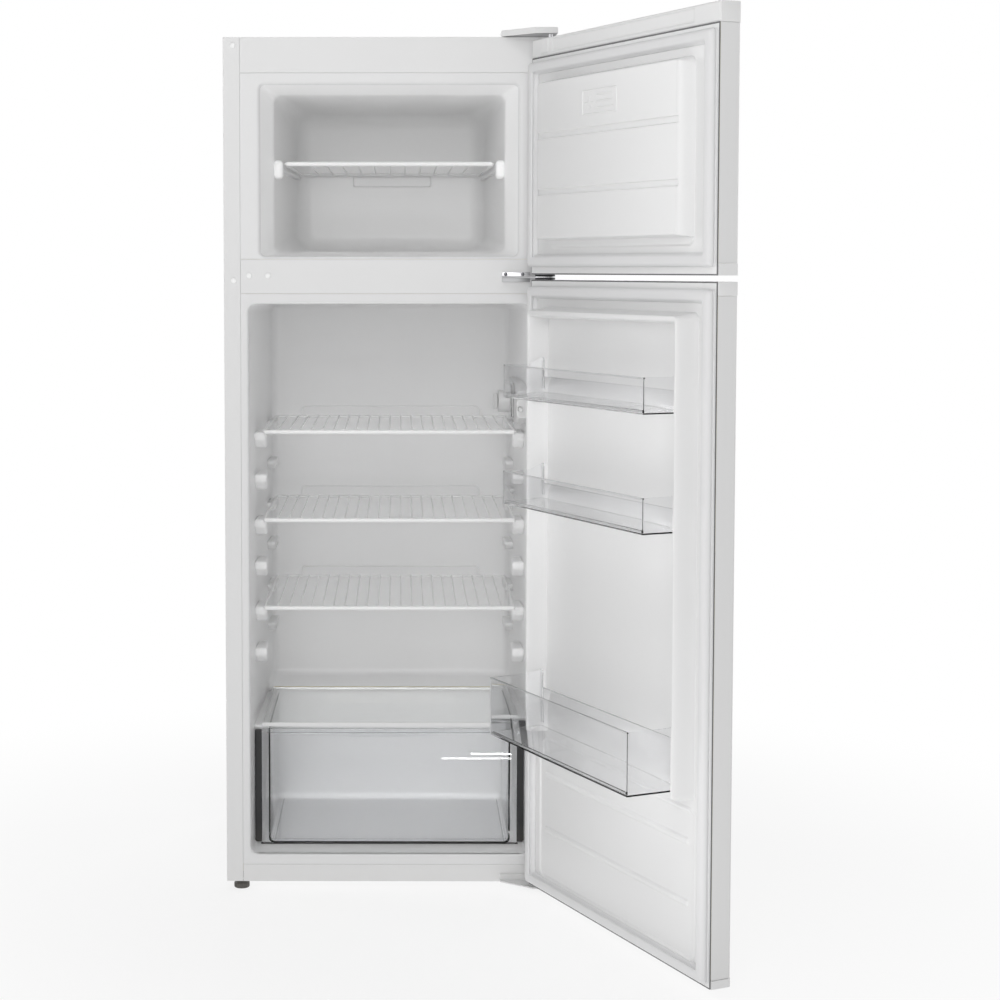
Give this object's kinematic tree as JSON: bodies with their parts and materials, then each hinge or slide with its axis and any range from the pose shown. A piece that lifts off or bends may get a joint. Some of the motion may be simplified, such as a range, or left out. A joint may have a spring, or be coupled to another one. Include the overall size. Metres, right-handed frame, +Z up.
{
  "type": "top freezer refrigerator",
  "caption": "White two-door refrigerator, freezer above, doors standing open, with wire shelves, glass-topped crisper drawer and clear door bins.",
  "frame": {"origin": "middle of the whole object's footprint with both doors open, on the floor under the feet", "axes": "+Z up, +Y from the cabinet's front towards its back, +X to the right seen from the front, the hinge side"},
  "size_m": [0.7532, 1.068, 1.419],
  "materials": {
    "white_paint": "white powder coat, satin",
    "white_plastic": "white moulded plastic, satin",
    "liner_plastic": "vacuum-formed white liner, soft gloss",
    "clear_plastic": "clear moulded plastic",
    "gasket_rubber": "soft pale grey magnetic seal",
    "white_wire": "white coated wire",
    "shelf_glass": "clear toughened glass",
    "hinge_steel": "bright zinc plated steel",
    "black_steel": "black enamel",
    "black_plastic": "black moulded plastic",
    "insulation": "rigid foam",
    "evaporator_aluminium": "roll-bonded sheet",
    "copper_pipe": "bare copper tube",
    "lamp_glass": "frosted bulb"
  },
  "bodies": {
    "cabinet": {"left_side_panel": "white_paint", "right_side_panel": "white_paint", "top_panel": "white_paint", "rear_panel": "white_paint", "base_pan": "white_paint", "top_front_rail": "white_paint", "middle_front_rail": "white_paint", "bottom_front_rail": "white_paint", "freezer_liner": "liner_plastic", "fridge_liner": "liner_plastic", "evaporator_plate": "evaporator_aluminium", "cabinet_insulation": "insulation", "compressor": "black_steel", "compressor_cradle": "black_steel", "compressor_terminal_cover": "black_plastic", "evaporation_tray": "black_plastic", "condenser_coil": "black_steel", "refrigerant_pipe": "copper_pipe", "cord_inlet": "black_plastic", "rear_foot_left": "black_plastic", "rear_foot_right": "black_plastic", "hole_plug_top": "white_plastic", "hole_plug_side": "white_plastic", "hole_plug_rail_outer": "white_plastic", "hole_plug_rail_inner": "white_plastic", "top_hinge_bracket": "hinge_steel", "top_hinge_cover": "white_plastic", "middle_hinge_bracket": "hinge_steel", "middle_hinge_screw_left": "hinge_steel", "middle_hinge_screw_right": "hinge_steel", "bottom_hinge_bracket": "white_paint", "control_housing": "white_plastic", "lamp_bulb": "lamp_glass", "lamp_lens": "clear_plastic"},
    "foot_left": {"front_foot_left": "black_plastic"},
    "foot_right": {"front_foot_right": "black_plastic"},
    "knob": {"thermostat_knob": "white_plastic"},
    "button": {"door_switch_button": "white_plastic"},
    "freezer_shelf": {"freezer_wire_shelf": "white_wire"},
    "shelf_top": {"wire_shelf_top": "white_wire"},
    "shelf_middle": {"wire_shelf_middle": "white_wire"},
    "shelf_lower": {"wire_shelf_lower": "white_wire"},
    "crisper_cover": {"crisper_cover_trim": "white_plastic", "crisper_cover_glass": "shelf_glass"},
    "crisper": {"crisper_drawer": "clear_plastic"},
    "freezer_door": {"freezer_door_skin": "white_paint", "freezer_door_foam": "insulation", "freezer_door_top_cap": "white_plastic", "freezer_door_bottom_cap": "white_plastic", "freezer_door_liner": "liner_plastic", "freezer_door_gasket": "gasket_rubber"},
    "fridge_door": {"fridge_door_skin": "white_paint", "fridge_door_foam": "insulation", "fridge_door_top_cap": "white_plastic", "fridge_door_bottom_cap": "white_plastic", "fridge_door_liner": "liner_plastic", "fridge_door_gasket": "gasket_rubber"},
    "bin_top": {"door_bin_top": "clear_plastic"},
    "bin_middle": {"door_bin_middle": "clear_plastic"},
    "bin_bottle": {"door_bin_bottle": "clear_plastic"}
  },
  "joints": [
    {"name": "freezer_door_hinge", "type": "hinge", "parent": "cabinet", "child": "freezer_door", "pos_m": [0.15141, -0.04204, 1.2], "axis": [0, 0, 1], "range_deg": [-114.4, 15.6]},
    {"name": "fridge_door_hinge", "type": "hinge", "parent": "cabinet", "child": "fridge_door", "pos_m": [0.15141, -0.04204, 0.52], "axis": [0, 0, 1], "range_deg": [-114.4, 15.6]},
    {"name": "freezer_shelf_slide", "type": "slide", "parent": "cabinet", "child": "freezer_shelf", "axis": [0, -1, 0], "range_m": [0, 0.3]},
    {"name": "shelf_top_slide", "type": "slide", "parent": "cabinet", "child": "shelf_top", "axis": [0, -1, 0], "range_m": [0, 0.3]},
    {"name": "shelf_middle_slide", "type": "slide", "parent": "cabinet", "child": "shelf_middle", "axis": [0, -1, 0], "range_m": [0, 0.3]},
    {"name": "shelf_lower_slide", "type": "slide", "parent": "cabinet", "child": "shelf_lower", "axis": [0, -1, 0], "range_m": [0, 0.3]},
    {"name": "crisper_cover_slide", "type": "slide", "parent": "cabinet", "child": "crisper_cover", "axis": [0, -1, 0], "range_m": [0, 0.24]},
    {"name": "crisper_slide", "type": "slide", "parent": "cabinet", "child": "crisper", "axis": [0, -1, 0], "range_m": [0, 0.24]},
    {"name": "bin_top_lift", "type": "slide", "parent": "fridge_door", "child": "bin_top", "axis": [0, 0, 1], "range_m": [0, 0.03]},
    {"name": "bin_middle_lift", "type": "slide", "parent": "fridge_door", "child": "bin_middle", "axis": [0, 0, 1], "range_m": [0, 0.03]},
    {"name": "bin_bottle_lift", "type": "slide", "parent": "fridge_door", "child": "bin_bottle", "axis": [0, 0, 1], "range_m": [0, 0.03]},
    {"name": "thermostat_turn", "type": "hinge", "parent": "cabinet", "child": "knob", "pos_m": [0.07841, 0.24646, 0.802], "axis": [1, 0, 0], "range_deg": [-135, 135]},
    {"name": "door_switch_press", "type": "slide", "parent": "cabinet", "child": "button", "axis": [0, 1, 0], "range_m": [0, 0.006], "stiffness_N_per_m": 150, "springref_m": -0.002},
    {"name": "foot_left_turn", "type": "hinge", "parent": "cabinet", "child": "foot_left", "pos_m": [-0.35359, 0.02047, 0.008], "axis": [0, 0, 1], "range_deg": [-180, 180]},
    {"name": "foot_right_turn", "type": "hinge", "parent": "cabinet", "child": "foot_right", "pos_m": [0.14041, 0.02047, 0.008], "axis": [0, 0, 1], "range_deg": [-180, 180]}
  ]
}
